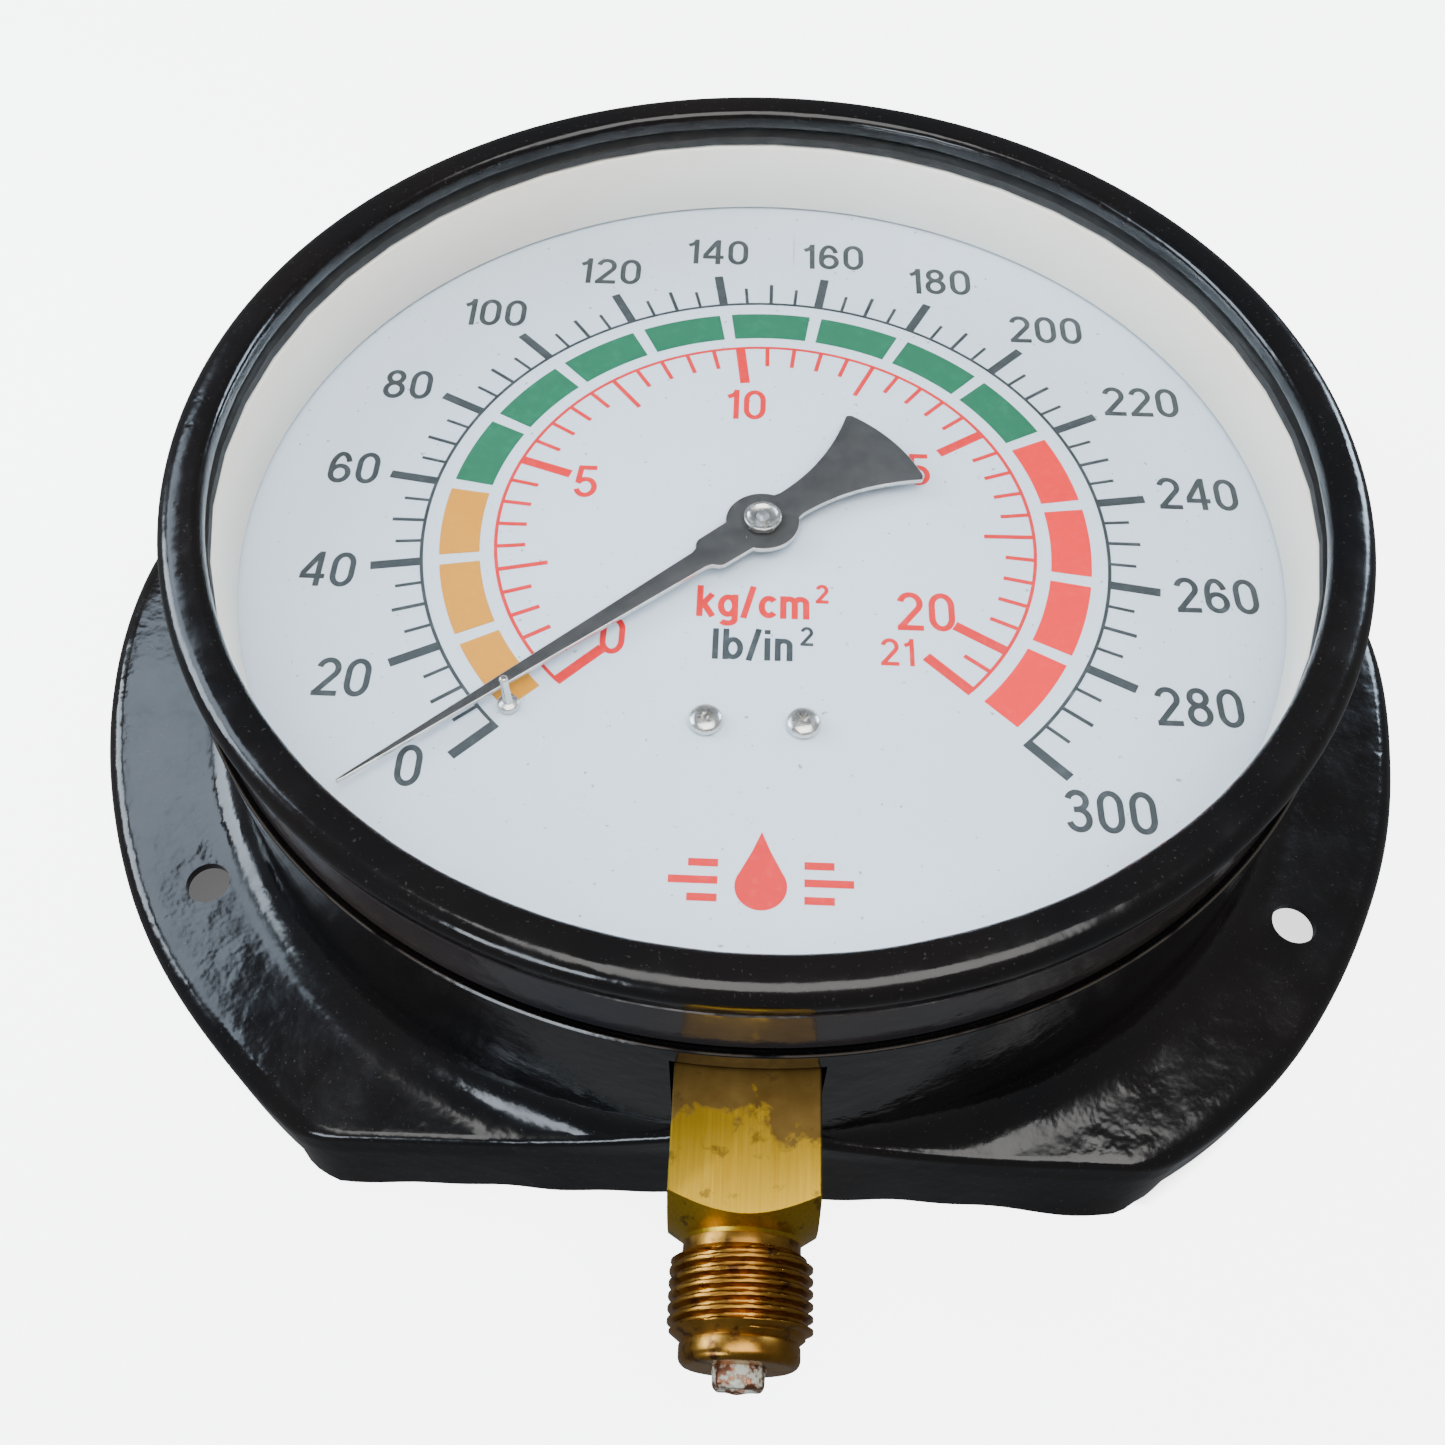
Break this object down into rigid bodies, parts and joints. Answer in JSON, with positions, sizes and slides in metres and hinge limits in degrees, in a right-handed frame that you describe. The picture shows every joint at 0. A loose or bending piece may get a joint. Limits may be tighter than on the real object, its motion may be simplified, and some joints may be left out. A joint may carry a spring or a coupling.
{
  "type": "pressure gauge",
  "caption": "Round dial pressure gauge with a Bourdon-tube movement in a drawn steel case, a back mounting flange with three holes, and a threaded bottom stem.",
  "frame": {"origin": "centre of the case's back face", "axes": "+Z out of the dial along the case's axis, +Y up the dial, the threaded stem points along -Y"},
  "size_m": [0.212, 0.2238, 0.062],
  "materials": {
    "black_enamel": "stoved gloss enamel",
    "window_glass": "clear",
    "gasket_rubber": "matt",
    "cream_plastic": "satin",
    "dial_paint": "printed satin",
    "nickel_plate": "bright",
    "pointer_paint": "satin",
    "brass": "machined",
    "bronze": "drawn",
    "steel": "machined"
  },
  "bodies": {
    "case": {"case_cup": "black_enamel", "mounting_flange": "black_enamel", "bezel": "black_enamel", "window_glass": "window_glass", "window_gasket": "gasket_rubber", "spacer_ring": "cream_plastic", "dial_plate": "dial_paint", "dial_screw_left": "nickel_plate", "dial_screw_right": "nickel_plate", "dial_post_left": "brass", "dial_post_right": "brass", "stop_pin": "nickel_plate", "hairspring": "bronze", "hairspring_stud": "brass", "bourdon_tube": "bronze", "socket": "brass", "movement_back_plate": "brass", "movement_front_plate": "brass", "movement_pillar_1": "brass", "movement_pillar_2": "brass", "movement_pillar_3": "brass", "plate_screw_1": "steel", "plate_screw_2": "steel", "plate_screw_3": "steel", "movement_screw_left": "steel", "movement_screw_right": "steel", "socket_bracket": "steel", "bracket_screw_left": "steel", "bracket_screw_right": "steel", "case_screw_left": "steel", "case_screw_right": "steel"},
    "sector": {"sector_gear": "brass", "sector_arbor": "steel", "tail_pivot_screw": "steel"},
    "pointer_train": {"pinion_arbor": "steel", "hairspring_collet": "brass", "pointer": "pointer_paint", "pointer_hub": "nickel_plate"},
    "tube_end": {"tube_tip": "brass", "tip_pivot_screw": "steel"},
    "link": {"link": "nickel_plate"}
  },
  "joints": [
    {"name": "sector_turn", "type": "hinge", "parent": "case", "child": "sector", "pos_m": [0, -0.0224, 0.028], "axis": [0, 0, 1], "range_deg": [0, 38.57], "stiffness_Nm_per_rad": 0.002},
    {"name": "pointer_turn", "type": "hinge", "parent": "case", "child": "pointer_train", "pos_m": [0, 0, 0.0456], "axis": [0, 0, 1], "range_deg": [-270.1, 0], "deforming": ["hairspring"]},
    {"name": "tube_tip_swing", "type": "hinge", "parent": "case", "child": "tube_end", "pos_m": [-0.00558, 0.01131, 0.0316], "axis": [0, 0, 1], "range_deg": [0, 6.95], "deforming": ["bourdon_tube"]},
    {"name": "link_swing", "type": "hinge", "parent": "tube_end", "child": "link", "pos_m": [0.04197, -0.03398, 0.0295], "axis": [0, 0, 1], "range_deg": [-1.1, 0]}
  ],
  "couplings": [
    {"joint": "pointer_turn", "follows": "sector_turn", "ratio": -7},
    {"joint": "tube_tip_swing", "follows": "sector_turn", "ratio": 0.1799},
    {"joint": "link_swing", "follows": "sector_turn", "ratio": -0.0278}
  ]
}
